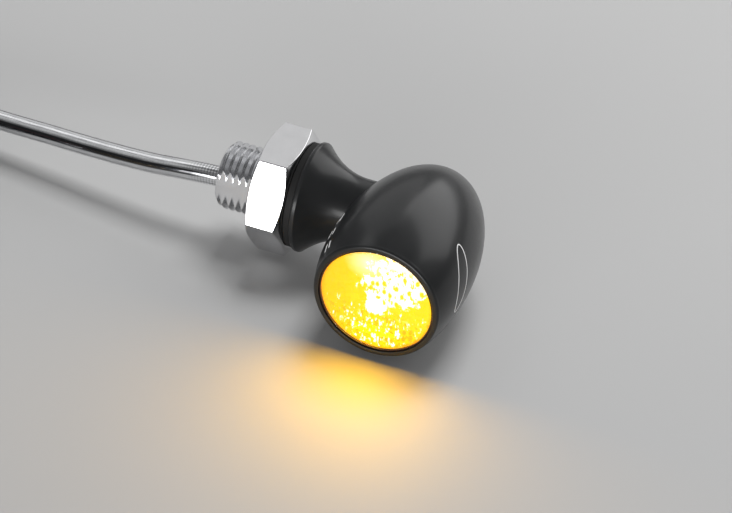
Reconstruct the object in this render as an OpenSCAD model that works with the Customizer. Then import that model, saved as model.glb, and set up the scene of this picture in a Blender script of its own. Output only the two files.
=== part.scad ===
// Micro LED turn signal indicator for a motorcycle: bullet-shaped head, trumpet stalk,
// hollow threaded stud with nut and washer, and a thin braided cable with two bullet terminals.
//
// Frame, in millimetres: the origin is the centre of the mounting shoulder, on the stud's axis.
// +X runs from the stud into the head, the lens faces -Y, and +Z is up.

/* [Head] */
// Largest radius of the head
head_r = 5.05; // [4.8:0.05:5.3]
// Distance from the mounting shoulder to the lens axis
head_reach = 8.35; // [8.2:0.05:9]
// Distance from the stud's axis forward to the rim's face
rim_reach = 9.05; // [8.8:0.05:10]
// Outer radius of the rim
rim_r = 4.42; // [4.35:0.01:4.6]
// Distance from the stud's axis forward to the widest section
belly_reach = 4.45; // [4:0.05:5]
// Length of the rounded back, from the widest section
back_length = 9.95; // [9.5:0.05:11]
// Radius of the main cavity
cavity_r = 3.55; // [3.5:0.01:3.6]

/* [Lens and light] */
// Radius of the lens
lens_r = 3.92; // [3.8:0.01:3.95]
// Radius of the seat that holds the lens and its seal
seat_r = 4.05; // [4:0.01:4.1]
// Depth of the lens seat below the rim's face
seat_depth = 1.6; // [1.4:0.05:1.8]
// How far the lens edge lies below the rim's face
lens_recess = 0.1; // [0.05:0.01:0.2]
// Height of the lens dome above its own edge
lens_crown = 0.24; // [0.1:0.01:0.3]
// Width of the square LED package
led_w = 1.6; // [1.2:0.1:2]

/* [Stalk and stud] */
// Radius of the flange
flange_r = 3.94; // [3.9:0.01:4.2]
// Thickness of the flange's straight edge
flange_edge = 0.3; // [0.2:0.05:0.4]
// Radius of the stalk's neck
neck_r = 2.29; // [2.1:0.01:2.4]
// Length over which the trumpet narrows to the neck
flare_length = 3.75; // [3:0.05:4]
// Crest radius of the stud's thread, M5 x 0.5
stud_r = 2.42; // [2.4:0.01:2.45]
// Length of the stud in front of the shoulder
stud_length = 6.3; // [6:0.1:9]
// Distance from the stud's axis to its longitudinal flat
stud_flat = 2.03; // [1.95:0.01:2.2]
// Direction of the flat about the stud's axis, from +Y towards +Z
stud_flat_angle = 174; // [150:1:200]
// Radius of the stud's cable bore
stud_bore_r = 1.5; // [1.4:0.05:1.55]

/* [Nut and washer] */
// Nut width across flats
nut_af = 8; // [7.8:0.1:8]
// Nut height
nut_h = 2.7; // [2.4:0.1:2.8]
// Radius of the nut's bore over the stud's crests
nut_bore_r = 2.47; // [2.46:0.01:2.5]
// Direction of one nut corner about the stud's axis, from +Y towards +Z
nut_corner_angle = 64; // [0:1:120]
// Outer radius of the washer
washer_r = 3.75; // [3.6:0.05:3.9]
// Washer thickness
washer_t = 0.5; // [0.4:0.05:0.6]

/* [Board] */
// Radius of the round circuit board
board_r = 3.48; // [3.4:0.01:3.49]
// Thickness of the circuit board
board_t = 0.8; // [0.6:0.1:1]
// Distance from the stud's axis forward to the board's LED side
board_reach = 4.4; // [4.3:0.05:4.5]

/* [Cable] */
// Cable diameter over the clear jacket
cable_d = 1.5; // [1.4:0.1:1.6]
// Diameter of each insulated lead
lead_d = 1; // [0.9:0.1:1.1]
// Radius of the coil at the middle of its turns
coil_r = 8; // [7.5:0.1:9]
// Thickness of the ties round the coil
tie_t = 0.25; // [0.2:0.05:0.3]
// Width of each tie
tie_w = 2; // [1.5:0.1:3]

/* [Terminals] */
// Radius of the bullet terminal
bullet_r = 1.95; // [1.9:0.01:2]
// Length of the bullet's plain cylinder
bullet_length = 6; // [5:0.5:7]
// Outer radius of the terminal's insulating sleeve
sleeve_r = 2.2; // [2.15:0.05:2.3]
// Length of the insulating sleeve
sleeve_length = 8; // [7:0.5:9]

/* [Hidden] */
$fn = 64;

gap = 0.02;                      // running gap between pieces that touch
seat_floor = rim_reach - seat_depth;
floor_z = -head_r;               // the surface that the indicator and its cable lie on
cable_r = cable_d / 2;
lead_r = lead_d / 2;
cable_drop = -0.45;              // the cable lies low in the stud's bore
spigot_r = 2;                    // the stud's shank that is pressed into the stalk
spigot_length = 1.6;
stalk_bore_r = 1.35;
cavity_floor = -0.6;             // back end of the straight cavity, forward of the stud's axis
board_back = board_reach - board_t;
potting_back = 0.95;
potting_top = 2.7;

// --- places -----------------------------------------------------------------------------------

// Children's +Z becomes the way the lens faces, measured forward from the stud's axis
module on_lens_axis() translate([head_reach, 0, 0]) rotate([90, 0, 0]) children();

// Children's +Z becomes +X along the stud, measured from the mounting shoulder
module on_stud_axis() rotate([0, 90, 0]) children();

// A round bar along the stud's axis from one X to another
module stud_bar(r, from, to) translate([from, 0, 0]) on_stud_axis() cylinder(r = r, h = to - from);

// --- swept tubes ------------------------------------------------------------------------------

// A point on the smooth curve between b and c
function between(a, b, c, d, t) =
    0.5 * (2 * b + (c - a) * t + (2 * a - 5 * b + 4 * c - d) * t * t + (3 * b - a - 3 * c + d) * t * t * t);

// The route's own points with one smooth point added halfway between each two
function smooth(p) = [
    for (i = [0 : len(p) - 2], half = [0, 1])
        between(p[max(i - 1, 0)], p[i], p[i + 1], p[min(i + 2, len(p) - 1)], half / 2),
    p[len(p) - 1]
];

function unit(v) = v / norm(v);
function along(p, i) = unit(p[min(i + 1, len(p) - 1)] - p[max(i - 1, 0)]);

// One ring of points round the route
function ring(p, i, r, sides) =
    let (t = along(p, i), side = unit(cross(t, [0, 0, 1])), up = cross(side, t))
    [for (k = [0 : sides - 1]) p[i] + r * (cos(360 * k / sides) * side + sin(360 * k / sides) * up)];

// A closed tube along the route
module tube(route, r, sides = 8) {
    p = smooth(route);
    last = (len(p) - 1) * sides;
    polyhedron(
        points = [for (i = [0 : len(p) - 1]) each ring(p, i, r, sides)],
        faces = [
            [for (k = [0 : sides - 1]) k],
            for (i = [0 : len(p) - 2], k = [0 : sides - 1])
                let (a = i * sides, n = (k + 1) % sides) [a + k, a + sides + k, a + sides + n, a + n],
            [for (k = [sides - 1 : -1 : 0]) last + k]
        ],
        convexity = 6);
}

// --- cable route ------------------------------------------------------------------------------

coil_centre = [-35, -7.3];
coil_floor = floor_z + tie_t;                // the coil rests on its ties
turn_pitch = cable_d + gap;                  // the turns lie beside and on each other
coil_rows = 2;
coil_columns = 3;
coil_half_w = coil_columns * turn_pitch / 2;
coil_top = coil_floor + coil_rows * turn_pitch;
table_z = floor_z + cable_r;

lead_route = [
    [-stud_length, 0, cable_drop], [-8, 0, -0.55], [-10, 0, -0.75], [-12.5, 0.15, -1.1],
    [-16.5, 0.6, -1.55], [-20.5, 1.1, -1.9], [-25, 1.6, -2.25], [-28.5, 2, -2.4],
    [-32, 2.2, -2.5], [-35, 2.2, -2.5]
];
tail_route = [
    [-35, 2.2, -4.05], [-38, 2.1, -4.1], [-41.2, 1.4, -4.2], [-44, -0.2, table_z],
    [-46.2, -2.6, table_z], [-47.4, -5.4, -4.2], [-47.7, -8.5, -4.05]
];
split_start = [-47.7, -8.5, -4.05];          // where the heat shrink grips the cable
split_length = 5;
lead_spread = 0.55;                          // the leads leave the heat shrink side by side
sleeve_start_x = -40.6;          // the terminals lie beside the coil, along +X
terminal_y = -22.6;
terminal_spread = 2.3;
sleeve_z = floor_z + sleeve_r;

function terminal_start(side) = [sleeve_start_x, terminal_y + side * terminal_spread, sleeve_z];

// side is 1 for the positive lead, on the inside of the bend, and -1 for the ground lead
function lead_points(side) = [
    split_start + [side * lead_spread, -split_length, 0],
    each side > 0
        ? [[-46.9, -15.9, -4.05], [-45.5, -18.3, -3.9], [-43.2, -19.9, -3.4]]
        : [[-48.2, -17.2, -4.05], [-47, -21.2, -3.9], [-44.2, -24, -3.4]],
    terminal_start(side)
];

// Children's +Z runs along a terminal, from the mouth of its sleeve towards the tip
module on_terminal(side) translate(terminal_start(side)) rotate([0, 90, 0]) children();

// --- head -------------------------------------------------------------------------------------

front_steps = 12;
back_steps = 20;
taper_power = 2.25;
edge_round = 0.12;               // rounded outer edge of the rim

// Radius of the head in front of the belly; u runs from 0 at the belly to 1 at the rim
function front_radius(u) = head_r - (head_r - rim_r) * pow(u, taper_power);

function head_outline() = [
    [0, rim_reach],
    [rim_r - edge_round, rim_reach],
    for (k = [front_steps : -1 : 0])
        let (u = k / front_steps)
        [front_radius(u), belly_reach + u * (rim_reach - edge_round - belly_reach)],
    for (k = [1 : back_steps])
        let (a = 90 * k / back_steps)
        [k == back_steps ? 0 : head_r * cos(a), belly_reach - back_length * sin(a)]
];

flare_steps = 14;
flare_power = 2.35;
edge_chamfer = 0.12;
stalk_end = 6.6;                 // the stalk ends inside the head's wall

function flare_radius(u) = neck_r + (flange_r - neck_r) * pow(1 - u, flare_power);

function stalk_outline() = [
    [0, 0],
    [flange_r - edge_chamfer, 0],
    [flange_r, edge_chamfer],
    for (k = [0 : flare_steps])
        let (u = k / flare_steps)
        [flare_radius(u), flange_edge + u * flare_length],
    [neck_r, stalk_end],
    [0, stalk_end]
];

// The space inside the head, with the drill's cone at its back
module cavity() {
    translate([0, 0, seat_floor]) cylinder(r = seat_r, h = seat_depth + 1);
    translate([0, 0, cavity_floor]) cylinder(r = cavity_r, h = seat_floor - cavity_floor + 0.5);
    translate([0, 0, cavity_floor - 1.6]) cylinder(r1 = 2, r2 = cavity_r, h = 1.6 + 0.001);
}

module housing() color([0.07, 0.07, 0.075]) {
    difference() {
        union() {
            on_lens_axis() rotate_extrude() polygon(head_outline());
            on_stud_axis() rotate_extrude() polygon(stalk_outline());
        }
        on_lens_axis() cavity();
        stud_bar(stalk_bore_r, -1, head_reach);
        stud_bar(spigot_r, -1, spigot_length);
    }
}

// --- lens and light ---------------------------------------------------------------------------

lens_t = 1.2;
lens_back = rim_reach - lens_recess - lens_t;
crown_steps = 10;

function crown_height(x) =
    let (sphere_r = (lens_r * lens_r + lens_crown * lens_crown) / (2 * lens_crown))
    sqrt(sphere_r * sphere_r - x * x) - (sphere_r - lens_crown);

function lens_outline() = [
    [0, lens_back],
    [lens_r, lens_back],
    for (k = [crown_steps : -1 : 0])
        let (x = lens_r * k / crown_steps)
        [x, lens_back + lens_t + crown_height(x)]
];

module lens() color([1, 0.72, 0.05, 0.6]) on_lens_axis() rotate_extrude() polygon(lens_outline());

// L-shaped gasket: a foot under the lens and a lip round its edge
module lens_seal() color([0.1, 0.05, 0.05]) on_lens_axis() rotate_extrude() polygon([
    [cavity_r - 0.1, seat_floor], [seat_r, seat_floor], [seat_r, lens_back + 0.95],
    [lens_r, lens_back + 0.95], [lens_r, lens_back], [cavity_r - 0.1, lens_back]
]);

reflector_back = board_reach + 0.02;
reflector_front = 7.3;
reflector_wall = 0.3;
reflector_small_r = 1.45;
reflector_large_r = 3.2;

module reflector() color([0.9, 0.88, 0.8]) on_lens_axis() rotate_extrude() polygon([
    [reflector_small_r, reflector_back],
    [reflector_small_r + reflector_wall, reflector_back],
    [reflector_large_r + reflector_wall - 0.02, reflector_front - 0.3],
    [reflector_large_r + reflector_wall - 0.02, reflector_front],
    [reflector_large_r, reflector_front]
]);

led_t = 0.4;
led_dome_r = 0.62;

module led_base() color([0.95, 0.95, 0.92]) on_lens_axis()
    translate([-led_w / 2, -led_w / 2, board_reach]) cube([led_w, led_w, led_t]);

module led_dome() color([1, 0.8, 0.2, 0.8]) on_lens_axis()
    translate([0, 0, board_reach + led_t])
        intersection() {
            sphere(r = led_dome_r, $fn = 48);
            cylinder(r = 2 * led_dome_r, h = 2 * led_dome_r);
        }

// --- board ------------------------------------------------------------------------------------

pad_t = 0.05;
wire_pad_x = 1.5;
wire_pad_y = 1.6;

// A flat block on the back of the board, centred at x, y
module on_back(x, y, size) translate([x - size.x / 2, y - size.y / 2, board_back - size.z]) cube(size);

module circuit_board() color([0.92, 0.93, 0.9]) on_lens_axis()
    translate([0, 0, board_back]) cylinder(r = board_r, h = board_t);

module solder_pads() color([0.75, 0.76, 0.78]) on_lens_axis()
    for (side = [-1, 1]) {
        on_back(side * wire_pad_x, -wire_pad_y, [0.9, 1.1, pad_t]);
        on_back(side * wire_pad_x, 2.55, [0.6, 0.5, pad_t]);
    }

module driver_chip() color([0.08, 0.08, 0.09]) on_lens_axis() {
    on_back(0, 0.9, [1.7, 1.5, 0.65]);
    for (side = [-1, 1], k = [-1 : 1]) on_back(side * 1.05, 0.9 + 0.5 * k, [0.4, 0.2, 0.15]);
}

module resistors() color([0.12, 0.12, 0.13]) on_lens_axis()
    for (x = [-2.3, 2.3], y = [0.3, 1.1]) on_back(x, y, [1, 0.5, 0.35]);

module capacitors() color([0.72, 0.58, 0.4]) on_lens_axis()
    for (side = [-1, 1]) on_back(side * 0.6, -2.7, [0.8, 0.5, 0.5]);

module diode() color([0.1, 0.1, 0.1]) on_lens_axis() on_back(0, -0.75, [1.3, 0.8, 0.6]);

// Insulated conductors from the cable's end to the pads on the back of the board
conductor_r = 0.3;

cable_end = 5.88;                // the jacket ends inside the head

// side is 1 for positive and -1 for ground
function conductor_points(side) =
    let (x = head_reach + side * wire_pad_x)
    [
        [cable_end + gap, 0, cable_drop + 0.32 * side],
        [cable_end + 0.6, 0, cable_drop + 0.32 * side - 0.2],
        [(cable_end + 0.6 + x) / 2, -0.1, -1.2],
        [x, -0.6, -wire_pad_y],
        [x, -1.2, -wire_pad_y],
        [x, -2, -wire_pad_y],
        [x, pad_t - board_back, -wire_pad_y]
    ];

module conductor_positive() color([0.75, 0.1, 0.08]) tube(conductor_points(1), conductor_r);
module conductor_ground() color([0.12, 0.12, 0.12]) tube(conductor_points(-1), conductor_r);

// Resin plug between the cable's end and the board, with a hole for each conductor
module potting() color([0.2, 0.2, 0.22]) on_lens_axis()
    difference() {
        translate([0, 0, potting_back]) cylinder(r = cavity_r - 0.03, h = potting_top - potting_back);
        for (side = [-1, 1])
            translate([side * wire_pad_x, -wire_pad_y, 0]) cylinder(r = conductor_r + 0.1, h = potting_top + 1);
    }

// --- stud, nut and washer ---------------------------------------------------------------------

thread_end_chamfer = 0.3;

module threaded_stud() color([0.8, 0.81, 0.83])
    difference() {
        union() {
            difference() {
                on_stud_axis() rotate_extrude() polygon([
                    [0, -stud_length], [stud_r - thread_end_chamfer, -stud_length],
                    [stud_r, -stud_length + thread_end_chamfer], [stud_r, 0], [0, 0]
                ]);
                rotate([stud_flat_angle, 0, 0])
                    translate([-stud_length - 1, stud_flat, -stud_r]) cube([stud_length + 2, 2, 2 * stud_r]);
            }
            stud_bar(spigot_r - 0.01, -0.1, spigot_length);
        }
        stud_bar(stud_bore_r, -stud_length - 1, spigot_length + 1);
    }

sealant_back = -3.8;
sealant_front = -5.6;

module stud_sealant() color([0.06, 0.06, 0.06])
    difference() {
        stud_bar(stud_bore_r - 0.01, sealant_front, sealant_back);
        translate([0, 0, cable_drop]) stud_bar(cable_r + 0.01, sealant_front - 1, sealant_back + 1);
    }

module inner_cable() color([0.75, 0.76, 0.78])
    translate([0, 0, cable_drop]) stud_bar(cable_r, -stud_length + 0.01, cable_end);

washer_bore_r = stud_r + 0.18;
nut_back = -washer_t - 2 * gap;

module washer() color([0.05, 0.05, 0.05])
    difference() {
        on_stud_axis() rotate_extrude() polygon([
            [0, -gap - washer_t], [washer_r - 0.08, -gap - washer_t], [washer_r, -gap - washer_t + 0.08],
            [washer_r, -gap - 0.08], [washer_r - 0.08, -gap], [0, -gap]
        ]);
        stud_bar(washer_bore_r, -2, 1);
    }

nut_corner_r = nut_af / 2 / cos(30);
nut_face_r = 3.85;               // the chamfer starts here on each face
nut_chamfer = 0.36;              // and has dropped this far at the corners

module hex_nut() color([0.88, 0.88, 0.9])
    difference() {
        translate([nut_back - nut_h, 0, 0])
            intersection() {
                rotate([nut_corner_angle, 0, 0]) rotate([0, 90, 0]) rotate([0, 0, 90])
                    cylinder(r = nut_corner_r, h = nut_h, $fn = 6);
                on_stud_axis() rotate_extrude() polygon([
                    [0, 0], [nut_face_r, 0], [nut_corner_r, nut_chamfer],
                    [nut_corner_r, nut_h - nut_chamfer], [nut_face_r, nut_h], [0, nut_h]
                ]);
            }
        stud_bar(nut_bore_r, -stud_length, 1);
        for (x = [nut_back - nut_h, nut_back - 0.25])
            translate([x, 0, 0]) on_stud_axis()
                cylinder(r1 = x < -2 ? nut_bore_r + 0.25 : nut_bore_r,
                         r2 = x < -2 ? nut_bore_r : nut_bore_r + 0.25, h = 0.25);
    }

// --- cable and terminals ----------------------------------------------------------------------

module cable_lead() color([0.72, 0.73, 0.75]) tube(lead_route, cable_r);
module cable_tail() color([0.72, 0.73, 0.75]) tube(tail_route, cable_r);

// The coil's cross-section, grown by extra all round
function coil_section(extra) = [
    [-coil_half_w - extra, coil_floor - extra],
    [coil_half_w + extra, coil_floor - extra],
    [coil_half_w + extra, coil_top + extra],
    [-coil_half_w - extra, coil_top + extra]
];

module at_coil() translate([coil_centre.x, coil_centre.y, 0]) children();

module cable_coil() color([0.7, 0.71, 0.73])
    at_coil() rotate_extrude($fn = 96) translate([coil_r, 0]) polygon(coil_section(0));

module coil_ties() color([0.05, 0.05, 0.05])
    at_coil() for (a = [210, 330])
        rotate([0, 0, a]) translate([coil_r, tie_w / 2, 0]) rotate([90, 0, 0])
            linear_extrude(tie_w) difference() {
                polygon(coil_section(tie_t));
                polygon(coil_section(gap));
            }

module heat_shrink() color([0.06, 0.06, 0.06])
    hull() {
        translate(split_start) rotate([90, 0, 0]) cylinder(r = 1, h = 1, $fn = 32);
        for (side = [-1, 1])
            translate([split_start.x + side * lead_spread, split_start.y - split_length + 1, split_start.z])
                rotate([90, 0, 0]) cylinder(r = 0.7, h = 1, $fn = 32);
    }

module lead_positive() color([0.75, 0.1, 0.08]) tube(lead_points(1), lead_r);
module lead_ground() color([0.1, 0.1, 0.1]) tube(lead_points(-1), lead_r);

barrel_r = 1.1;
sleeve_grip = 0.4;               // the sleeve's end grips the lead

module sleeve(side) on_terminal(side)
    difference() {
        rotate_extrude() polygon([
            [0, 0], [1.2, 0], [sleeve_r, 1.6], [sleeve_r, sleeve_length], [0, sleeve_length]
        ]);
        translate([0, 0, -1]) cylinder(r = lead_r + 0.05, h = 3);
        translate([0, 0, sleeve_grip + 1]) cylinder(r = barrel_r + 0.02, h = sleeve_length);
    }

module sleeve_positive() color([0.7, 0.12, 0.1]) sleeve(1);
module sleeve_ground() color([0.08, 0.08, 0.08]) sleeve(-1);

// Crimp barrel inside the sleeve, plain bullet, groove and rounded nose
module terminal(side) on_terminal(side)
    rotate_extrude() polygon([
        [0, 1.6], [barrel_r, 1.6], [barrel_r, sleeve_length + 0.05], [bullet_r, sleeve_length + 0.05],
        [bullet_r, sleeve_length + bullet_length], [1.55, sleeve_length + bullet_length + 0.3],
        [1.55, sleeve_length + bullet_length + 0.7],
        for (a = [0 : 15 : 75])
            [0.5 + 1.3 * cos(a), sleeve_length + bullet_length + 1 + 1.3 * sin(a)],
        [0, sleeve_length + bullet_length + 2.3]
    ]);

module terminal_positive() color([0.85, 0.7, 0.35]) terminal(1);
module terminal_ground() color([0.85, 0.7, 0.35]) terminal(-1);

// --- nodes ------------------------------------------------------------------------------------

housing();
lens();
lens_seal();
reflector();
led_base();
led_dome();
circuit_board();
solder_pads();
driver_chip();
resistors();
capacitors();
diode();
potting();
conductor_positive();
conductor_ground();
threaded_stud();
stud_sealant();
inner_cable();
washer();
hex_nut();
cable_lead();
cable_coil();
cable_tail();
coil_ties();
heat_shrink();
lead_positive();
lead_ground();
sleeve_positive();
sleeve_ground();
terminal_positive();
terminal_ground();
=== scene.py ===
import math

import bmesh
import bpy
from mathutils import Matrix, Vector


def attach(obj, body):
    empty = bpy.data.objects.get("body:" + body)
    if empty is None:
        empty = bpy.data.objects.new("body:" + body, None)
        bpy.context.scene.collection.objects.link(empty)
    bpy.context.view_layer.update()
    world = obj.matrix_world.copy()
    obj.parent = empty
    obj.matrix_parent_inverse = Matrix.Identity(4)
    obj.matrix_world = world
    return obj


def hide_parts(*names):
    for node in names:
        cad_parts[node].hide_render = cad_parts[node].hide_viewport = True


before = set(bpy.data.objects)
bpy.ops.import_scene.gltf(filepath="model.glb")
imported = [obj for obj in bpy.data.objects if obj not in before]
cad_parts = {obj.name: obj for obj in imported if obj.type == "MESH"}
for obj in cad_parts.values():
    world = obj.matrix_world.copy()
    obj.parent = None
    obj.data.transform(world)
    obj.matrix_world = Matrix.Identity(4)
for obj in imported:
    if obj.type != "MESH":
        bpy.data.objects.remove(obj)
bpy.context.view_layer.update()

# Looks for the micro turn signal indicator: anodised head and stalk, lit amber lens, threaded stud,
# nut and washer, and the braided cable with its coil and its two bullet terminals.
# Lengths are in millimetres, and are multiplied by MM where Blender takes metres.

MM = 0.001
SHARP = math.radians(32)

# Camera
CAMERA_PLACE, CAMERA_LENS = (48.638, -133.556, 104.179), 124.4
CAMERA_ANGLES = 18.3, 37.5, 4.72                # azimuth, elevation and roll, in degrees

# Head and stalk, about the lens axis and the stud's axis
HEAD_X = 8.35
HEAD_R, RIM_R, RIM_REACH = 5.05, 4.42, 9.05
BELLY, BACK_LENGTH = 4.45, 9.95
RIM_ROUND, TAPER_END, TAPER_POWER = 0.2, 8.93, 2.25
SEAT_R, SEAT_FLOOR, CAVITY_R, CAVITY_BACK = 4.05, 7.45, 3.55, -0.6
CONE_R, CONE_BACK = 2, -2.2                     # the drill's cone at the back of the cavity
FLANGE_R, FLANGE_EDGE, NECK_R, FLARE_LENGTH, FLARE_POWER = 3.94, 0.3, 2.29, 3.75, 2.35
STALK_END, STALK_BORE_R, STALK_BORE_END = 4.75, 1.35, 6

# Printed marks: how far they stand out of the head and reach into it, and how wide their lines are
PRINT_RISE, PRINT_SINK, OVAL_WIDTH, TICK_WIDTH = 0.012, 0.03, 0.085, 0.12

# Lens
LENS_R, LENS_BACK, LENS_EDGE, LENS_CROWN = 3.92, 7.75, 8.95, 0.24
OPTIC_FRONT, DOME_BACK, PILLOW_PITCH, PILLOW_RISE = 8.72, 8.84, 0.5, 0.07

# Stud, washer and nut, about the stud's axis
CREST_R, ROOT_R, PITCH, STUD_END = 2.42, 2.11, 0.5, -6.3
ROOT_PART, FLANK_PART, THREAD_STEPS = 0.125, 0.75, 16       # shares of half a pitch; rows to a pitch
FLAT, FLAT_ANGLE = 2.03, math.radians(174)
STUD_CHAMFER, BORE_CHAMFER = 0.34, 0.12
BORE_R, SPIGOT_R, SPIGOT_END = 1.5, 1.99, 1.6
WASHER_R, WASHER_BORE, WASHER_BACK, WASHER_FRONT = 3.75, 2.6, -0.52, -0.02
NUT_AF, NUT_BACK, NUT_FRONT, NUT_CORNER = 8, -3.24, -0.54, math.radians(64)
NUT_FACE_R, NUT_CHAMFER, NUT_CORNER_R = 3.85, 0.36, 4.619
NUT_MOUTH_R, NUT_LIP = 2.67, 0.06
THREAD_GAP = 0.05

# Cable
CABLE_R, CABLE_DROP, LEAD_R = 0.75, -0.45, 0.5
TABLE_Z = -HEAD_R
COIL_X, COIL_Y, COIL_R, TURN = -35, -7.3, 8, 1.52
TIE_T, TIE_W, TIE_ANGLES, TIE_GAP = 0.25, 2, (210, 330), 0.02
COIL_FLOOR = TABLE_Z + TIE_T
LEAD_ROUTE = [
    (STUD_END, 0, CABLE_DROP), (-8, 0, -0.55), (-10, 0, -0.75), (-12.5, 0.15, -1.1),
    (-16.5, 0.6, -1.55), (-20.5, 1.1, -1.9), (-25, 1.6, -2.25), (-28.5, 2, -2.4), (-32, 2.2, -2.5),
]
TAIL_ROUTE = [
    (-38, 2.1, -4.1), (-41.2, 1.4, -4.2), (-44, -0.2, -4.3), (-46.2, -2.6, -4.3),
    (-47.4, -5.4, -4.2), (-47.7, -8.5, -4.05),
]
SPLIT = (-47.7, -8.5, -4.05)
SHRINK_LENGTH, LEAD_SPREAD = 5, 0.55
SLEEVE_X, TERMINAL_Y, TERMINAL_SPREAD = -40.6, -22.6, 2.3
SLEEVE_R, SLEEVE_LENGTH = 2.2, 8
LEAD_BENDS = {1: [(-46.9, -15.9, -4.05), (-45.5, -18.3, -3.9), (-43.2, -19.9, -3.4)],
              -1: [(-48.2, -17.2, -4.05), (-47, -21.2, -3.9), (-44.2, -24, -3.4)]}
BARREL_R, BULLET_R, GROOVE_R, BULLET_LENGTH = 1.1, 1.95, 1.55, 6

# Studio
FLOOR_HALF, FLOOR_GAP = 1500, 0.01
LIGHT_AIM = Vector((2, -2, 0))
GLOW_PLACE, GLOW_AIM, GLOW_ENERGY = (HEAD_X, -9.6, 1.2), (0, 1, 0.15), 0.0032


# --- places and the camera --------------------------------------------------------------------

def linked(name, data, place=(0, 0, 0), turn=Matrix.Identity(3)):
    """A new object in the scene, at a place in millimetres."""
    obj = bpy.data.objects.new(name, data)
    bpy.context.collection.objects.link(obj)
    obj.matrix_world = Matrix.Translation(Vector(place) * MM) @ turn.to_4x4()
    return obj


def direction(azimuth, elevation):
    """The way from the object outwards, in radians; azimuth 0 is in front of it, at -Y."""
    return Vector((math.sin(azimuth) * math.cos(elevation),
                   -math.cos(azimuth) * math.cos(elevation), math.sin(elevation)))


def add_camera():
    """Looks at the lens from in front, above and a little to the right, slightly rolled."""
    azimuth, elevation, roll = (math.radians(angle) for angle in CAMERA_ANGLES)
    back = direction(azimuth, elevation)
    level = Vector((math.cos(azimuth), math.sin(azimuth), 0))
    right = level * math.cos(roll) + back.cross(level) * math.sin(roll)
    turn = Matrix((right, back.cross(right), back)).transposed()
    camera = linked("camera", bpy.data.cameras.new("camera"), CAMERA_PLACE, turn)
    camera.data.sensor_width = 36
    camera.data.lens = CAMERA_LENS
    camera.data.clip_start, camera.data.clip_end = 0.005, 10
    bpy.context.scene.camera = camera


# --- mesh building ----------------------------------------------------------------------------

def mesh_object(name, verts, faces, uvs=None):
    """A smooth object with its hard edges marked, from points in millimetres."""
    mesh = bpy.data.meshes.new(name)
    mesh.from_pydata([Vector(v) * MM for v in verts], [], faces)
    if uvs:
        layer = mesh.uv_layers.new(name="along")
        for loop, uv in zip(layer.data, uvs):
            loop.uv = uv
    bm = bmesh.new()
    bm.from_mesh(mesh)
    bmesh.ops.remove_doubles(bm, verts=bm.verts, dist=1e-7)
    bmesh.ops.recalc_face_normals(bm, faces=bm.faces)
    bm.to_mesh(mesh)
    bm.free()
    mark_edges(mesh)
    return linked(name, mesh)


def mark_edges(mesh):
    """Smooth shading, except across edges sharper than SHARP."""
    bm = bmesh.new()
    bm.from_mesh(mesh)
    for face in bm.faces:
        face.smooth = True
    for edge in bm.edges:
        edge.smooth = len(edge.link_faces) == 2 and edge.calc_face_angle(0) < SHARP
    bm.to_mesh(mesh)
    bm.free()


def piece(obj, material, body="root", replaces=()):
    """Gives the object its material and slot, and lets it ride on its body."""
    obj.data.materials.append(material)
    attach(obj, body)
    if replaces:
        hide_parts(*replaces)
    return obj


def grid_faces(rows, columns, close_rows=True):
    """Quads between rows of points; each row is a ring, and close_rows joins the last row to the first."""
    return [(i * columns + k, (i + 1) % rows * columns + k,
             (i + 1) % rows * columns + (k + 1) % columns, i * columns + (k + 1) % columns)
            for i in range(rows if close_rows else rows - 1)
            for k in range(columns)]


def turned(count):
    """Even angles round a full turn."""
    return [2 * math.pi * k / count for k in range(count)]


def revolve(name, outline, place, angles=turned(192), helical=False):
    """A closed form whose outline(angle) is a closed list of (radius, height).
    A helical outline has moved on after a full turn, so its seam is closed by merging equal points."""
    if helical:
        angles = [*angles, angles[0] + 2 * math.pi]
    rows = [outline(a) for a in angles]
    verts = [place(r * math.cos(a), r * math.sin(a), h) for a, row in zip(angles, rows) for r, h in row]
    return mesh_object(name, verts, grid_faces(len(rows), len(rows[0]), close_rows=not helical))


def on_lens_axis(x, y, h):
    """A point beside the lens axis, h forward from the stud's axis."""
    return HEAD_X + x, -h, y


def on_stud_axis(x, y, h):
    """A point beside the stud's axis, h towards the head from the mounting shoulder."""
    return h, x, y


def rounded(points, steps=4):
    """The closed outline [(r, h, cut), ...] with each corner rounded off over its cut."""
    outline = []
    for k, (r, h, cut) in enumerate(points):
        corner = Vector((r, h))
        if not cut:
            outline.append((r, h))
            continue
        before, after = Vector(points[k - 1][:2]), Vector(points[(k + 1) % len(points)][:2])
        start = corner + (before - corner).normalized() * cut
        end = corner + (after - corner).normalized() * cut
        for t in (s / steps for s in range(steps + 1)):
            p = start * (1 - t) ** 2 + corner * 2 * t * (1 - t) + end * t ** 2
            outline.append((p.x, p.y))
    return outline


def smooth_step(t):
    """Eases from 0 to 1 as t does."""
    t = min(max(t, 0), 1)
    return t * t * (3 - 2 * t)


def smooth_route(points, parts):
    """Points on the Catmull-Rom curve through the given ones, so many for each span."""
    p = [Vector(v) for v in points]
    p = [p[0] * 2 - p[1], *p, p[-1] * 2 - p[-2]]
    curve = []
    for a, b, c, d in zip(p, p[1:], p[2:], p[3:]):
        for t in (k / parts for k in range(parts)):
            curve.append(0.5 * (2 * b + (c - a) * t + (2 * a - 5 * b + 4 * c - d) * t ** 2
                                + (3 * b - a - 3 * c + d) * t ** 3))
    return curve + [p[-2]]


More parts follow.
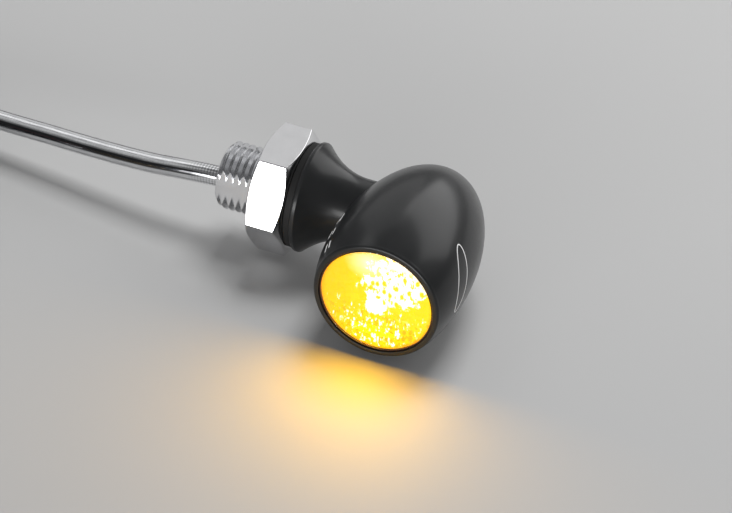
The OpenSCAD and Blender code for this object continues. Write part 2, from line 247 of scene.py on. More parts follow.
def tube(name, path, radius, sides=24):
    """A capped round tube along a path, with UVs: turns round it, and millimetres along it."""
    verts, faces, uvs = [], [], []
    side, run = None, [0]
    for i, point in enumerate(path):
        ahead = (path[min(i + 1, len(path) - 1)] - path[max(i - 1, 0)]).normalized()
        side = ((side - ahead * side.dot(ahead)) if side else ahead.cross(Vector((0, 0, 1)))).normalized()
        up = side.cross(ahead)
        for a in turned(sides):
            verts.append(point + (side * math.cos(a) + up * math.sin(a)) * radius)
        if i:
            run.append(run[-1] + (point - path[i - 1]).length)
    for i in range(len(path) - 1):
        for k in range(sides):
            n = (k + 1) % sides
            faces.append((i * sides + k, (i + 1) * sides + k, (i + 1) * sides + n, i * sides + n))
            uvs += [(k / sides, run[i]), (k / sides, run[i + 1]),
                    ((k + 1) / sides, run[i + 1]), ((k + 1) / sides, run[i])]
    last = (len(path) - 1) * sides
    for cap in (range(sides), range(last, last + sides)):
        faces.append(tuple(cap))
        uvs += [(0, 0)] * sides
    return mesh_object(name, verts, faces, uvs)


def cut_or_join(obj, other, operation):
    """Applies a boolean with the other object, which is then removed."""
    modifier = obj.modifiers.new(operation, "BOOLEAN")
    modifier.operation, modifier.solver, modifier.object = operation, "EXACT", other
    mesh = bpy.data.meshes.new_from_object(obj.evaluated_get(bpy.context.evaluated_depsgraph_get()))
    obj.modifiers.clear()
    obj.data = mesh
    bpy.data.objects.remove(other)


# --- materials --------------------------------------------------------------------------------

class Nodes:
    """A material's node tree, with short ways to add and join nodes.
    Inputs are given by name, or by number as i0, i1 and so on."""

    def __init__(self, name):
        self.material = bpy.data.materials.new(name)
        self.material.use_nodes = True
        self.tree = self.material.node_tree
        self.shader = self.tree.nodes["Principled BSDF"]

    def add(self, kind, _out=0, _set=None, **inputs):
        node = self.tree.nodes.new("ShaderNode" + kind)
        for key, value in (_set or {}).items():
            setattr(node, key, value)
        for key, value in inputs.items():
            numbered = key[0] == "i" and key[1:].isdigit()
            self.put(node.inputs[int(key[1:]) if numbered else key.replace("_", " ")], value)
        return node.outputs[_out]

    def put(self, socket, value):
        if isinstance(value, bpy.types.NodeSocket):
            self.tree.links.new(value, socket)
        else:
            socket.default_value = value

    def math(self, operation, a, b=0.0, clamp=False):
        return self.add("Math", _set={"operation": operation, "use_clamp": clamp}, i0=a, i1=b)

    def plus(self, a, b, clamp=False):
        return self.math("ADD", a, b, clamp)

    def minus(self, a, b, clamp=False):
        return self.math("SUBTRACT", a, b, clamp)

    def times(self, a, b, clamp=False):
        return self.math("MULTIPLY", a, b, clamp)

    def larger(self, a, b):
        return self.math("MAXIMUM", a, b)

    def noise(self, vector, detail, **inputs):
        return self.add("TexNoise", **{"Vector": vector, "Scale": 1.0, "Detail": detail, **inputs})

    def spread(self, value, low, high, out_low=0.0, out_high=1.0):
        """Maps low to high onto out_low to out_high, and holds the ends."""
        return self.add("MapRange", Value=value, From_Min=low, From_Max=high, To_Min=out_low, To_Max=out_high)

    def mix(self, factor, a, b):
        return self.add("Mix", _out=2, _set={"data_type": "RGBA"}, i0=factor, i6=a, i7=b)

    def place(self, scale, shift=(0, 0, 0)):
        """Object coordinates in millimetres, shifted and scaled."""
        point = self.add("TexCoord", _out=3)
        return self.add("Mapping", Vector=point, Location=shift, Scale=[s / MM for s in scale])

    def surface(self, **values):
        for key, value in values.items():
            self.put(self.shader.inputs[key.replace("_", " ")], value)

    def relief(self, height, depth, strength=1.0):
        self.surface(Normal=self.add("Bump", Height=height, Distance=depth * MM, Strength=strength))


def rgba(colour, factor):
    return (*(min(c * factor, 1) for c in colour), 1)


def finish(name, colour, rough, grain, depth, vary=0.15, stretch=(1, 1, 1), **values):
    """A surface whose colour, roughness and relief vary with noise; grain and depth are in mm."""
    n = Nodes(name)
    noise = n.noise(n.place([s / grain for s in stretch]), 4.0, Roughness=0.6)
    n.surface(Base_Color=n.mix(noise, rgba(colour, 1 - vary), rgba(colour, 1 + vary)),
              Roughness=n.spread(noise, 0.25, 0.75, max(rough - 0.06, 0.02), min(rough + 0.06, 1)), **values)
    n.relief(noise, depth)
    return n.material


def anodised():
    """Black anodised aluminium: fine blasted grain with faint cloudiness."""
    n = Nodes("anodised_black")
    grain = n.noise(n.place((9, 9, 9)), 3.0)
    cloud = n.noise(n.place((0.5, 0.5, 0.5)), 2.0)
    n.surface(Base_Color=n.mix(cloud, (0.008, 0.0085, 0.009, 1), (0.014, 0.0145, 0.015, 1)),
              Roughness=n.plus(n.spread(cloud, 0.3, 0.7, 0.34, 0.4), n.spread(grain, 0.3, 0.7, 0, 0.05)),
              Specular_IOR_Level=0.2, Coat_Weight=0.6, Coat_Roughness=0.2, Coat_IOR=1.33)
    n.relief(grain, 0.0006)
    return n.material


def braided():
    """Silvery strands under a clear jacket, with a painted dark reflection band along one side; the weave
    shows at the stud's end.
    """
    n = Nodes("braid_under_clear_jacket")
    along = n.add("SeparateXYZ", Vector=n.add("TexCoord", _out=2)).node
    around, run = along.outputs[0], along.outputs[1]
    waves = [n.math("SINE", n.plus(n.times(around, 2 * math.pi * 11), n.times(run, hand * 14)))
             for hand in (1, -1)]
    weave = n.times(n.times(*waves), n.spread(run, 0.6, 3, 0.5, 0.04))
    strand_place = n.add("CombineXYZ", X=n.times(around, 46), Y=n.times(run, 0.55))
    strand = n.noise(strand_place, 4.0, Roughness=0.65)
    height = n.plus(weave, strand)
    silver = n.mix(n.spread(height, 0.25, 0.75), (0.42, 0.425, 0.44, 1), (0.86, 0.87, 0.88, 1))
    # Painted reflection: a dark band along one side of the cable where the jacket faces the dark surroundings
    # in front, weaker near the stud's end.
    off_reflection_band = n.math("ABSOLUTE", n.minus(around, 0.437))
    painted_dark_reflection = n.times(n.spread(off_reflection_band, 0.05, 0.036), n.spread(run, 0.8, 2.5, 0.3, 1.0))
    n.surface(Base_Color=n.mix(painted_dark_reflection, silver, (0.035, 0.036, 0.04, 1)),
              Roughness=n.spread(strand, 0.3, 0.7, 0.14, 0.24), Metallic=1.0,
              Coat_Weight=1.0, Coat_Roughness=0.03, Coat_IOR=1.5)
    n.relief(height, 0.006, 0.5)
    return n.material


def bright_metal(name, colour, rough, stretch):
    """Plated or turned metal with fine marks along one direction and faint stains."""
    n = Nodes(name)
    lines = n.noise(n.place(stretch), 4.0, Roughness=0.7)
    stain = n.noise(n.place((0.9, 0.9, 0.9)), 3.0)
    n.surface(Base_Color=n.mix(stain, rgba(colour, 0.92), rgba(colour, 1.06)), Metallic=1.0,
              Roughness=n.plus(n.spread(lines, 0.3, 0.7, rough - 0.03, rough + 0.03),
                               n.spread(stain, 0.4, 0.7, 0, 0.05)))
    n.relief(lines, 0.0007)
    return n.material


class OpticNodes(Nodes):
    """Patterns of light on the optic, placed by x and z in millimetres from the lens's centre."""

    def __init__(self, name):
        super().__init__(name)
        point = self.place((1, 1, 1), (-HEAD_X, 0, 0))
        xyz = self.add("SeparateXYZ", Vector=point).node
        self.x, self.z = xyz.outputs[0], xyz.outputs[2]
        wobble = self.noise(point, 5.0, Scale=1.6, Roughness=0.65)
        self.jag = self.spread(wobble, 0.3, 0.7, -0.32, 0.32)

    def blob(self, cx, cz, rx, rz):
        """One at its centre, zero at its ellipse, negative outside."""
        dx = self.math("DIVIDE", self.minus(self.x, cx), rx)
        dz = self.math("DIVIDE", self.minus(self.z, cz), rz)
        return self.minus(1.0, self.math("SQRT", self.plus(self.times(dx, dx), self.times(dz, dz))))

    def cells(self, sx, sz, seed, part, size):
        """Small spots in a grid's cells; part, 0 to 1, is how many of the cells have one."""
        point = self.add("CombineXYZ", X=self.times(self.x, sx), Y=self.plus(self.times(self.z, sz), seed))
        grid = self.add("TexVoronoi", _set={"voronoi_dimensions": "2D"}, Vector=point, Scale=1.0,
                        Randomness=0.55).node
        value = self.add("SeparateColor", Color=grid.outputs["Color"])
        spot = self.spread(grid.outputs["Distance"], size, size * 0.6)
        return self.times(spot, self.math("LESS_THAN", value, part), clamp=True)

    def grains(self, sx, sz, seed, level):
        """Ragged specks, stretched along the axis with the smaller scale."""
        point = self.add("CombineXYZ", X=self.times(self.x, sx), Y=self.times(self.z, sz), Z=seed)
        return self.spread(self.noise(point, 2.0, Roughness=0.7), level, level + 0.05)


def white_light(n):
    """A patch with darker dots, the hot image of the LED, flecks and streaks below, a pale upper left."""
    patch = n.larger(n.blob(1.25, 2.2, 2.5, 2.0), n.blob(0.9, 1.1, 2.3, 1.5))
    patch = n.larger(patch, n.blob(2.2, 2.3, 1.9, 1.7))
    patch = n.spread(n.plus(patch, n.times(n.jag, 1.1)), 0.08, 0.2)
    dots = n.times(n.cells(2.3, 1.5, 3.0, 0.5, 0.4), n.spread(n.z, 3.1, 2.6))
    white = n.minus(patch, n.larger(dots, n.grains(3.6, 1.7, 5.0, 0.56)), clamp=True)
    spot = n.spread(n.plus(n.blob(-0.02, -0.42, 0.78, 0.78), n.jag), 0.02, 0.12)
    below = n.times(n.spread(n.z, -0.9, -1.7), n.spread(n.x, -2.9, -1.6))
    flecks = n.times(n.grains(3.2, 1.6, 11.0, 0.58), below)
    streaks = n.times(n.grains(5.0, 1.1, 17.0, 0.6), n.spread(n.z, -0.2, -0.6))
    white = n.plus(n.plus(white, spot), n.plus(flecks, streaks), clamp=True)
    return n.larger(white, n.spread(n.blob(-0.7, 2.9, 1.8, 1.5), 0.0, 1.0, 0.0, 0.65))


def amber_light(n, edge):
    """Yellow, deeper on the left and towards the edge, with orange spots below."""
    across = n.spread(n.plus(n.x, n.times(n.jag, 1.5)), -3.6, -0.4)
    amber = n.mix(across, (1.0, 0.62, 0.0, 1), (1.0, 0.79, 0.0, 1))
    spots = n.times(n.cells(2.4, 1.5, 23.0, 0.55, 0.36), n.spread(n.blob(2.0, -2.4, 2.3, 1.7), 0.0, 0.35))
    spots = n.larger(spots, n.times(n.grains(3.1, 2.0, 29.0, 0.56), n.spread(n.z, -0.4, -1.4)))
    amber = n.mix(n.times(spots, 0.75), amber, (1.0, 0.42, 0.0, 1))
    return n.mix(n.times(edge, edge), amber, (1.0, 0.26, 0.0, 1))


def lit_optic():
    """Amber light through the pillow optic, with white where it is hottest."""
    n = OpticNodes("lit_amber_optic")
    ring = n.add("VectorMath", _out=1, _set={"operation": "LENGTH"}, i0=n.add("CombineXYZ", X=n.x, Y=n.z))
    edge = n.spread(n.plus(ring, n.times(n.jag, 0.25)), 3.6, 3.95)
    white = n.times(white_light(n), n.spread(edge, 0.2, 0.7, 1.0, 0.0))
    n.surface(Base_Color=(0.4, 0.15, 0.0, 1), Roughness=0.5, Specular_IOR_Level=0.0,
              Emission_Color=n.mix(white, amber_light(n, edge), (1.0, 0.985, 0.93, 1)),
              Emission_Strength=n.plus(n.times(white, 0.7), 1.0))
    return n.material


def clear_amber():
    """Clear moulded cover, faintly tinted."""
    n = Nodes("clear_amber_cover")
    haze = n.noise(n.place((0.8, 0.8, 0.8)), 2.0)
    n.surface(Base_Color=n.mix(haze, (1.0, 0.97, 0.86, 1), (1.0, 0.99, 0.92, 1)),
              Roughness=n.spread(haze, 0.3, 0.7, 0.0, 0.02), Transmission_Weight=1.0, IOR=1.46,
              Specular_IOR_Level=0.1)
    return n.material


def make_materials():
    """One material for each of the record's slots, and a few for pieces within them."""
    return {
        "anodised_black": anodised(),
        "amber_lens": clear_amber(),
        "lit_optic": lit_optic(),
        # Dark rubber whose red tint is painted glow: it stands for the amber light showing in the gap round
        # the lens.
        "seal_rubber": finish("seal_rubber", (0.03, 0.007, 0.004), 0.5, 0.3, 0.002),
        "metallised": finish("metallised", (0.85, 0.84, 0.8), 0.12, 0.8, 0.001, 0.05, Metallic=1.0),
        "led_ceramic": finish("led_ceramic", (0.8, 0.8, 0.76), 0.5, 0.1, 0.001, 0.05),
        "led_silicone": finish("led_silicone", (0.85, 0.55, 0.06), 0.15, 0.2, 0.001, 0.1),
        "board_white": finish("board_white", (0.75, 0.77, 0.74), 0.4, 0.3, 0.001, 0.06),
        "solder": finish("solder", (0.7, 0.7, 0.72), 0.25, 0.15, 0.004, 0.15, Metallic=1.0),
        "chip_black": finish("chip_black", (0.02, 0.02, 0.022), 0.45, 0.08, 0.001),
        "resistor_black": finish("resistor_black", (0.03, 0.03, 0.032), 0.4, 0.08, 0.001),
        "capacitor_tan": finish("capacitor_tan", (0.42, 0.28, 0.15), 0.45, 0.1, 0.001, 0.2),
        "resin_dark": finish("resin_dark", (0.035, 0.035, 0.04), 0.2, 0.8, 0.01),
        "insulation_red": finish("insulation_red", (0.5, 0.02, 0.015), 0.35, 0.5, 0.004, 0.12),
        "insulation_black": finish("insulation_black", (0.02, 0.02, 0.021), 0.35, 0.5, 0.004, 0.2),
        "stud_steel": bright_metal("stud_steel", (0.7, 0.705, 0.72), 0.2, (16, 0.4, 0.4)),
        "nut_chrome": bright_metal("nut_chrome", (0.78, 0.78, 0.79), 0.1, (1.5, 9, 9)),
        "washer_black": finish("washer_black", (0.01, 0.01, 0.01), 0.6, 0.2, 0.002, Specular_IOR_Level=0.2),
        "cable_clear": braided(),
        "tie_black": finish("tie_black", (0.02, 0.02, 0.02), 0.4, 0.25, 0.004, stretch=(1, 1, 3)),
        "shrink_black": finish("shrink_black", (0.022, 0.022, 0.023), 0.42, 0.35, 0.01),
        "terminal_brass": bright_metal("terminal_brass", (0.80, 0.60, 0.27), 0.18, (2, 9, 2)),
        "sleeve_red": finish("sleeve_red", (0.45, 0.02, 0.015), 0.3, 0.6, 0.01, 0.1),
        "sleeve_black": finish("sleeve_black", (0.022, 0.022, 0.024), 0.3, 0.6, 0.01),
        "print_grey": finish("print_grey", (0.68, 0.68, 0.68), 0.5, 0.12, 0.001, 0.2),
    }


# --- cable and terminals ----------------------------------------------------------------------

def coil_route():
    """Six turns: three inwards in the top row, down on the inside, and three outwards in the bottom row.
    Each turn moves over by one diameter near the place where the cable enters and leaves."""
    points, halfway = [], 3 * 360
    outer, top, bottom = COIL_R + TURN, COIL_FLOOR + 1.5 * TURN, COIL_FLOOR + 0.5 * TURN
    for angle in range(0, 2 * halfway + 1, 15):
        inwards = sum(smooth_step((angle - 360 * k + 50) / 45) for k in (1, 2))
        inwards += smooth_step((angle - halfway + 80) / 70)
        outwards = smooth_step((angle - halfway - 10) / 70)
        outwards += sum(smooth_step((angle - 360 * k - 5) / 45) for k in (4, 5))
        r = outer - TURN * (inwards - outwards)
        z = top + (bottom - top) * smooth_step((angle - halfway + 35) / 70)
        a = math.radians(90 + angle)
        points.append((COIL_X + r * math.cos(a), COIL_Y + r * math.sin(a), z))
    return points


def add_cable(materials):
    """The whole free cable: lead, coil and tail, with what is on its far end."""
    path = smooth_route(LEAD_ROUTE + coil_route() + TAIL_ROUTE, 5)
    cable = piece(tube("cable_sheath", path, CABLE_R), materials["cable_clear"],
                  replaces=("cable_lead", "cable_coil", "cable_tail"))
    length = sum((b - a).length for a, b in zip(path, path[1:]))
    others = add_ties(materials) + [add_heat_shrink(materials)]
    for side, tone, node in ((1, "red", "positive"), (-1, "black", "ground")):
        others += add_terminal(materials, side, tone, node)


def add_ties(materials):
    """Flat bands round the coil's section, with rounded corners."""
    half, top = 1.5 * TURN, COIL_FLOOR + 2 * TURN
    bands = []
    for count, angle in enumerate(TIE_ANGLES):
        out = Vector((math.cos(math.radians(angle)), math.sin(math.radians(angle)), 0))
        across = Vector((-out.y, out.x, 0))
        verts, loops = [], []
        for extra, reach in ((TIE_GAP, TIE_W / 2), (TIE_T, TIE_W / 2), (TIE_T, -TIE_W / 2),
                             (TIE_GAP, -TIE_W / 2)):
            cut = 0.55 + extra
            loops.append([(r, h, reach) for r, h in rounded(
                [(-half - extra, COIL_FLOOR - extra, cut), (half + extra, COIL_FLOOR - extra, cut),
                 (half + extra, top + extra, cut), (-half - extra, top + extra, cut)], 6)])
        for loop in loops:
            for r, h, reach in loop:
                verts.append(Vector((COIL_X, COIL_Y, h)) + out * (COIL_R + r) + across * reach)
        band = mesh_object(f"coil_tie_{count + 1}", verts, grid_faces(4, len(loops[0])))
        bands.append(piece(band, materials["tie_black"], replaces=("coil_ties",)))
    return bands


def add_heat_shrink(materials):
    """Shrunk tube: round on the cable, and pulled flat over the two leads."""
    verts, steps, sides = [], 20, 40
    for k in range(steps + 1):
        t = k / steps
        flat = smooth_step((t - 0.2) / 0.6)
        radius = 0.97 - 0.27 * flat + (0.03 if 0.05 < t < 0.95 else -0.02)
        spread = LEAD_SPREAD * flat
        for across, up in ((math.cos(a), math.sin(a)) for a in turned(sides)):
            waist = 0.12 * flat * max(0, 1 - abs(across) * 3)
            out = spread * math.copysign(min(abs(across) * 2, 1), across) + radius * across
            verts.append((SPLIT[0] + out, SPLIT[1] - SHRINK_LENGTH * t, SPLIT[2] + (radius - waist) * up))
    faces = grid_faces(steps + 1, sides, close_rows=False)
    faces += [tuple(range(sides)), tuple(range(steps * sides, (steps + 1) * sides))]
    return piece(mesh_object("heat_shrink_tube", verts, faces), materials["shrink_black"],
                 replaces=("heat_shrink",))


def add_terminal(materials, side, tone, node):
    """One insulated lead, its sleeve and its bullet terminal."""
    y, z = TERMINAL_Y + side * TERMINAL_SPREAD, TABLE_Z + SLEEVE_R

    def along(a, b, h):
        return SLEEVE_X + h, y + a, z + b

    x, out = SPLIT[0] + side * LEAD_SPREAD, SPLIT[1] - SHRINK_LENGTH
    route = [(x, out + 0.6, SPLIT[2]), (x, out, SPLIT[2]), *LEAD_BENDS[side],
             (SLEEVE_X, y, z), (SLEEVE_X + 1.2, y, z)]
    lead = piece(tube(f"lead_{tone}", smooth_route(route, 6), LEAD_R, 20),
                 materials[f"insulation_{tone}"], replaces=(f"lead_{node}",))
    sleeve_outline = rounded([
        (LEAD_R + 0.02, 0, 0.05), (1.2, 0, 0.12), (SLEEVE_R, 1.6, 0.5), (SLEEVE_R, SLEEVE_LENGTH, 0.18),
        (BARREL_R + 0.04, SLEEVE_LENGTH, 0.05), (BARREL_R + 0.04, 1.4, 0), (LEAD_R + 0.02, 1.4, 0)])
    sleeve = piece(revolve(f"sleeve_{tone}", lambda a: sleeve_outline, along, turned(96)),
                   materials[f"sleeve_{tone}"], replaces=(f"sleeve_{node}",))
    shoulder, end = SLEEVE_LENGTH + 0.05, SLEEVE_LENGTH + BULLET_LENGTH
    bullet_outline = rounded([
        (0, 1.6, 0), (BARREL_R, 1.6, 0.1), (BARREL_R, shoulder, 0), (BULLET_R, shoulder, 0.08),
        (BULLET_R, end, 0.1), (GROOVE_R, end + 0.3, 0.15), (GROOVE_R, end + 0.7, 0.12),
        (1.8, end + 1, 0.15), (1.55, end + 1.75, 0.5), (0.7, end + 2.28, 0.35), (0, end + 2.3, 0)], 6)
    bullet = piece(revolve(f"bullet_{tone}", lambda a: bullet_outline, along, turned(128)),
                   materials["terminal_brass"], replaces=(f"terminal_{node}",))
    return [lead, sleeve, bullet]


# --- head, stalk and marks --------------------------------------------------------------------

def head_radius(h):
    """Radius of the head's outside at a distance forward from the stud's axis."""
    if h < BELLY:
        return HEAD_R * math.sqrt(max(0, 1 - ((BELLY - h) / BACK_LENGTH) ** 2))
    return HEAD_R - (HEAD_R - RIM_R) * ((h - BELLY) / (TAPER_END - BELLY)) ** TAPER_POWER


def head_outline():
    """Rounded back, tapered front, rim, lens seat and cavity."""
    back = [(HEAD_R * math.sin(a), BELLY - BACK_LENGTH * math.cos(a), 0)
            for a in (math.pi / 2 * k / 64 for k in range(64))]
    front = [(head_radius(h), h, 0)
             for h in (BELLY + (RIM_REACH - 0.25 - BELLY) * k / 40 for k in range(41))]
    return rounded(back + front + [
        (RIM_R, RIM_REACH, RIM_ROUND), (SEAT_R, RIM_REACH, 0.05), (SEAT_R, SEAT_FLOOR, 0),
        (CAVITY_R, SEAT_FLOOR, 0), (CAVITY_R, CAVITY_BACK, 0), (CONE_R, CONE_BACK, 0), (0, CONE_BACK, 0)])


def stalk_outline():
    """Flange and trumpet, ending inside the head's wall."""
    flare = [(NECK_R + (FLANGE_R - NECK_R) * (1 - u) ** FLARE_POWER, FLANGE_EDGE + u * FLARE_LENGTH, 0)
             for u in (k / 48 for k in range(1, 49))]
    return rounded([(0, 0, 0), (FLANGE_R, 0, 0.11), (FLANGE_R, FLANGE_EDGE, 0.06)] + flare
                   + [(NECK_R, STALK_END, 0), (0, STALK_END, 0)])


def bore_outline():
    """The stud's socket and the cable's way through the stalk."""
    socket_r = SPIGOT_R + 0.01
    return [(0, -1), (socket_r, -1), (socket_r, SPIGOT_END), (STALK_BORE_R, SPIGOT_END),
            (STALK_BORE_R, STALK_BORE_END), (0, STALK_BORE_END)]


def add_head(materials):
    """Head and stalk in one, with the crisp crease where they meet."""
    head = revolve("head_and_stalk", lambda a: head_outline(), on_lens_axis, turned(256))
    cut_or_join(head, revolve("stalk_solid", lambda a: stalk_outline(), on_stud_axis, turned(256)), "UNION")
    cut_or_join(head, revolve("stalk_bore", lambda a: bore_outline(), on_stud_axis, turned(64)), "DIFFERENCE")
    mark_edges(head.data)
    piece(head, materials["anodised_black"], replaces=("housing",))


def ribbon(name, path, width, closed, material):
    """A thin printed line on the head's outside along (angle, forward) points, angles in degrees."""
    points = []
    for angle, h in path:
        a, r = math.radians(angle), head_radius(h)
        points.append((Vector(on_lens_axis(r * math.cos(a), r * math.sin(a), h)),
                       Vector((math.cos(a), 0, math.sin(a)))))
    verts, count = [], len(points)
    for i, (p, out) in enumerate(points):
        ahead = points[(i + 1) % count if closed else min(i + 1, count - 1)][0]
        behind = points[i - 1 if closed else max(i - 1, 0)][0]
        side = out.cross(ahead - behind).normalized() * width / 2
        top, bottom = p + out * PRINT_RISE, p - out * PRINT_SINK
        verts += [top + side, top - side, bottom - side, bottom + side]
    faces = grid_faces(count, 4, close_rows=closed)
    if not closed:
        faces += [(0, 1, 2, 3), tuple(range(4 * count - 4, 4 * count))]
    piece(mesh_object(name, verts, faces), material)


def add_marks(materials):
    """Plain generic marks: a slim oval outline on the side, and short ticks beside the stalk."""
    oval = [(14 + 24 * math.cos(a), 5.6 + 0.72 * math.sin(a) - 0.95 * math.cos(a)) for a in turned(96)]
    ribbon("side_mark", oval, OVAL_WIDTH, True, materials["print_grey"])
    ticks = (((147, 4.3), (147, 5.2)), ((148.5, 4.9), (153, 5)), ((147.2, 6), (148, 6.6)),
             ((152, 6), (154.2, 6.6)), ((146.4, 7.4), (145.4, 8.1)), ((150.4, 7.5), (151, 8.2)))
    for k, (start, end) in enumerate(ticks):
        steps = ((1 - t / 4, t / 4) for t in range(5))
        path = [(start[0] * a + end[0] * b, start[1] * a + end[1] * b) for a, b in steps]
        ribbon(f"tick_mark_{k + 1}", path, TICK_WIDTH, False, materials["print_grey"])


# --- lens -------------------------------------------------------------------------------------

def add_lens(materials):
    """Clear cover over a lit optic with a pillow in each cell, in its rubber seal."""
    sphere = (LENS_R ** 2 + LENS_CROWN ** 2) / (2 * LENS_CROWN)
    dome = [(r, LENS_EDGE + math.sqrt(sphere ** 2 - r ** 2) - sphere + LENS_CROWN, 0)
            for r in ((LENS_R - 0.06) * k / 30 for k in range(31))]
    cover_outline = rounded([(0, DOME_BACK, 0)] + dome + [(LENS_R, LENS_EDGE, 0.04), (LENS_R, DOME_BACK, 0)])
    piece(revolve("lens_cover", lambda a: cover_outline, on_lens_axis, turned(160)),
          materials["amber_lens"], replaces=("lens",))
    add_optic(materials)
    foot_r, inner_r, outer_r = CAVITY_R - 0.1, LENS_R + 0.01, SEAT_R - 0.01
    foot, lip = LENS_BACK - 0.01, LENS_EDGE - 0.06
    seal_outline = rounded([
        (foot_r, SEAT_FLOOR, 0), (outer_r, SEAT_FLOOR, 0), (outer_r, lip, 0.04), (inner_r, lip, 0.04),
        (inner_r, foot, 0), (foot_r, foot, 0)])
    piece(revolve("lens_gasket", lambda a: seal_outline, on_lens_axis, turned(128)),
          materials["seal_rubber"], replaces=("lens_seal",))


def add_optic(materials):
    """A round plate whose front is a square grid of small domes."""
    def front(x, y):
        fade = smooth_step((LENS_R - 0.05 - math.hypot(x, y)) / 0.2)
        wave = abs(math.cos(math.pi * x / PILLOW_PITCH) * math.cos(math.pi * y / PILLOW_PITCH)) ** 0.7
        return OPTIC_FRONT + PILLOW_RISE * wave * fade

    rings, sides, radius = 72, 200, LENS_R - 0.01
    verts = [on_lens_axis(0, 0, LENS_BACK), on_lens_axis(0, 0, front(0, 0))]
    for i in range(1, rings + 1):
        r = radius * i / rings
        for a in turned(sides):
            x, y = r * math.cos(a), r * math.sin(a)
            verts.append(on_lens_axis(x, y, front(x, y)))
    verts += [on_lens_axis(radius * math.cos(a), radius * math.sin(a), LENS_BACK) for a in turned(sides)]
    faces = [tuple(2 + v for v in f) for f in grid_faces(rings + 1, sides, close_rows=False)]
    last = 2 + rings * sides
    for k in range(sides):
        n = (k + 1) % sides
        faces += [(1, 2 + k, 2 + n), (0, last + k, last + n)]
    piece(mesh_object("lens_optic", verts, faces), materials["lit_optic"])


# --- stud, washer and nut ---------------------------------------------------------------------

def thread_radius(x, angle):
    """Right-hand M5 x 0.5 thread."""
    phase = (x / PITCH - angle / (2 * math.pi)) % 1
    rise = min(max((abs(2 * phase - 1) - ROOT_PART) / FLANK_PART, 0), 1)
    return ROOT_R + (CREST_R - ROOT_R) * rise


def thread_places(start, end, angle):
    """Places along the stud's axis at fixed phases of the thread, held between two ends."""
    first, last = math.floor(start / PITCH) - 1, math.ceil(end / PITCH)
    places = ((k / THREAD_STEPS + angle / (2 * math.pi)) * PITCH
              for k in range(THREAD_STEPS * first, THREAD_STEPS * last + 1))
    return [min(max(x, start), end) for x in places]


def add_stud(materials):
    """Hollow threaded stud with one flat along it and a chamfered end."""
    def outline(angle):
        flat = FLAT / max(math.cos(angle - FLAT_ANGLE), 0.1)
        outside = [(min(thread_radius(x, angle), flat, CREST_R - STUD_CHAMFER + (x - STUD_END)), x)
                   for x in thread_places(STUD_END, 0, angle)]
        inside = [(BORE_R, SPIGOT_END), (BORE_R, STUD_END + BORE_CHAMFER), (BORE_R + BORE_CHAMFER, STUD_END)]
        return inside + outside + [(SPIGOT_R, 0.01), (SPIGOT_R, SPIGOT_END)]

    piece(revolve("threaded_stud_body", outline, on_stud_axis, turned(240), helical=True),
          materials["stud_steel"], replaces=("threaded_stud",))


def add_washer(materials):
    """Flat black washer that is clear of the thread."""
    outline = rounded([(WASHER_BORE, WASHER_BACK, 0.06), (WASHER_R, WASHER_BACK, 0.07),
                       (WASHER_R, WASHER_FRONT, 0.07), (WASHER_BORE, WASHER_FRONT, 0.06)])
    piece(revolve("flat_washer", lambda a: outline, on_stud_axis), materials["washer_black"],
          body="washer", replaces=("washer",))


def hexagon_radius(angle):
    """Distance to the nut's side in a direction, with its long edges slightly rounded."""
    blunt = 0.06
    centre = (NUT_AF / 2 - blunt) / math.cos(math.pi / 6)
    off = abs((angle - NUT_CORNER + math.pi / 6) % (math.pi / 3) - math.pi / 6)
    if off < math.atan(blunt / 2 / (centre + blunt * math.cos(math.pi / 6))):
        return centre * math.cos(off) + math.sqrt(blunt ** 2 - (centre * math.sin(off)) ** 2)
    return NUT_AF / 2 / math.cos(math.pi / 6 - off)


def add_nut(materials):
    """Chamfered hexagon nut with an internal thread that matches the stud's."""
    slope = NUT_CHAMFER / (NUT_CORNER_R - NUT_FACE_R)

    def bore_radius(x, angle):
        """Threaded inside, opening out at the nut's two faces."""
        return max(thread_radius(x, angle) + THREAD_GAP, NUT_MOUTH_R - min(x - NUT_BACK, NUT_FRONT - x))

    def outline(angle):
        side = hexagon_radius(angle)
        drop = (side - NUT_FACE_R) * slope
        outside = rounded([
            (NUT_MOUTH_R, NUT_BACK, 0.03), (NUT_FACE_R, NUT_BACK, 0.04), (side, NUT_BACK + drop, 0.035),
            (side, NUT_FRONT - drop, 0.035), (NUT_FACE_R, NUT_FRONT, 0.04), (NUT_MOUTH_R, NUT_FRONT, 0.03)])
        places = thread_places(NUT_BACK + NUT_LIP, NUT_FRONT - NUT_LIP, angle)
        return outside + [(bore_radius(x, angle), x) for x in reversed(places)]

    near = (0.25, 0.5, 0.75, 1, 1.4, 2, 3, 4, 5, 7, 9, 12, 15, 18, 21, 24, 27)
    offs = (-30, *(-off for off in reversed(near)), 0, *near)     # closest together at the corner
    angles = [NUT_CORNER + math.radians(60 * corner + off) for corner in range(6) for off in offs]
    piece(revolve("hexagon_nut", outline, on_stud_axis, angles, helical=True), materials["nut_chrome"],
          body="nut", replaces=("hex_nut",))


# --- CAD nodes that stay ----------------------------------------------------------------------

def dress_frame(materials):
    """Gives each CAD node that still shows the material of its slot."""
    slots = {"reflector": "metallised", "led_base": "led_ceramic", "led_dome": "led_silicone",
             "circuit_board": "board_white", "solder_pads": "solder", "driver_chip": "chip_black",
             "resistors": "resistor_black", "capacitors": "capacitor_tan", "diode": "chip_black",
             "potting": "resin_dark", "conductor_positive": "insulation_red",
             "conductor_ground": "insulation_black", "stud_sealant": "seal_rubber",
             "inner_cable": "cable_clear"}
    for name, slot in slots.items():
        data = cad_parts[name].data
        data.materials.clear()
        data.materials.append(materials[slot])


# --- studio -----------------------------------------------------------------------------------

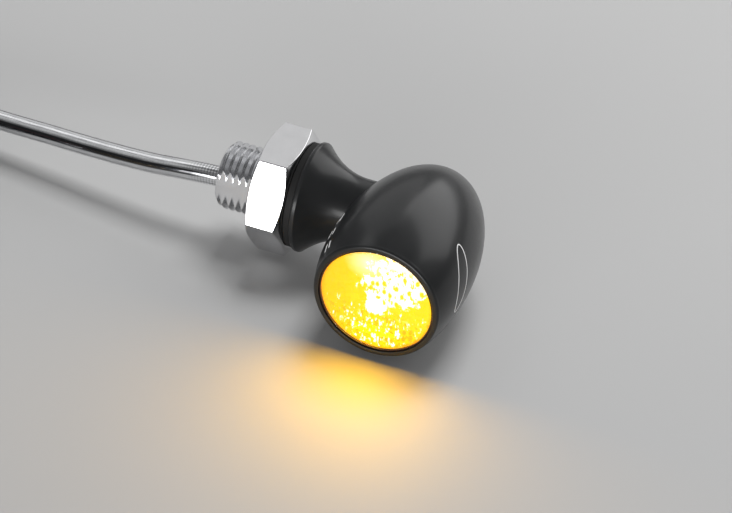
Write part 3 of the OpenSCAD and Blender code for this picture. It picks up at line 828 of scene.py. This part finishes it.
def add_floor():
    """Plain pale floor under the object."""
    n = Nodes("studio_floor")
    mottle = n.noise(n.place((0.02, 0.02, 0.02)), 2.0)
    n.surface(Base_Color=n.mix(mottle, (0.35, 0.35, 0.35, 1), (0.375, 0.375, 0.375, 1)),
              Roughness=n.spread(mottle, 0.3, 0.7, 0.5, 0.56), Specular_IOR_Level=0.3)
    corners = [(x * FLOOR_HALF, y * FLOOR_HALF, TABLE_Z - FLOOR_GAP)
               for x, y in ((-1, -1), (1, -1), (1, 1), (-1, 1))]
    floor = mesh_object("studio_floor", corners, [(0, 1, 2, 3)])
    floor.data.materials.append(n.material)


def area_light(name, shape, place, away, **values):
    """An area light that shines against the direction away."""
    lamp = bpy.data.lights.new(name, "AREA")
    lamp.shape = shape
    for key, value in values.items():
        setattr(lamp, key, value)
    return linked(name, lamp, place, away.to_track_quat("Z", "Y").to_matrix())


def add_softbox(name, azimuth, elevation, distance, size, radiance):
    """A rectangular light of even radiance, seen from the object in a direction."""
    away = direction(math.radians(azimuth), math.radians(elevation))
    width, height = size[0] * MM, size[1] * MM
    return area_light(name, "RECTANGLE", LIGHT_AIM + away * distance, away, size=width, size_y=height,
                      energy=radiance * math.pi * width * height)


def add_lights():
    """Softboxes, a dim grey surround, and the lens's own glow on the floor."""
    world = bpy.data.worlds.new("studio")
    bpy.context.scene.world = world
    world.use_nodes = True
    world.node_tree.nodes["Background"].inputs["Color"].default_value = (0.12, 0.12, 0.122, 1)
    key = add_softbox("key", 172, 68, 330, (150, 150), 14)
    add_softbox("back", 155, 31, 300, (320, 200), 2.1)
    add_softbox("back_left", -150, 34, 300, (200, 240), 0.56)
    add_softbox("left", -114, 52, 300, (90, 110), 1.1)
    add_softbox("left_low", -70, 49, 300, (170, 110), 0.42)
    add_softbox("front", 4, 9, 1200, (1385, 376), 9)
    glow = area_light("lens_glow", "DISK", GLOW_PLACE, Vector(GLOW_AIM), size=2 * LENS_R * MM,
                      energy=GLOW_ENERGY, color=(1, 0.52, 0.0))
    key.visible_glossy = glow.visible_glossy = glow.visible_camera = False


# --- the whole scene --------------------------------------------------------------------------

def build():
    """Everything in the scene, and plain colours for the picture."""
    add_camera()
    materials = make_materials()
    add_cable(materials)
    add_head(materials)
    add_marks(materials)
    add_lens(materials)
    add_stud(materials)
    add_washer(materials)
    add_nut(materials)
    dress_frame(materials)
    add_floor()
    add_lights()
    bpy.context.scene.view_settings.view_transform = "Standard"


build()
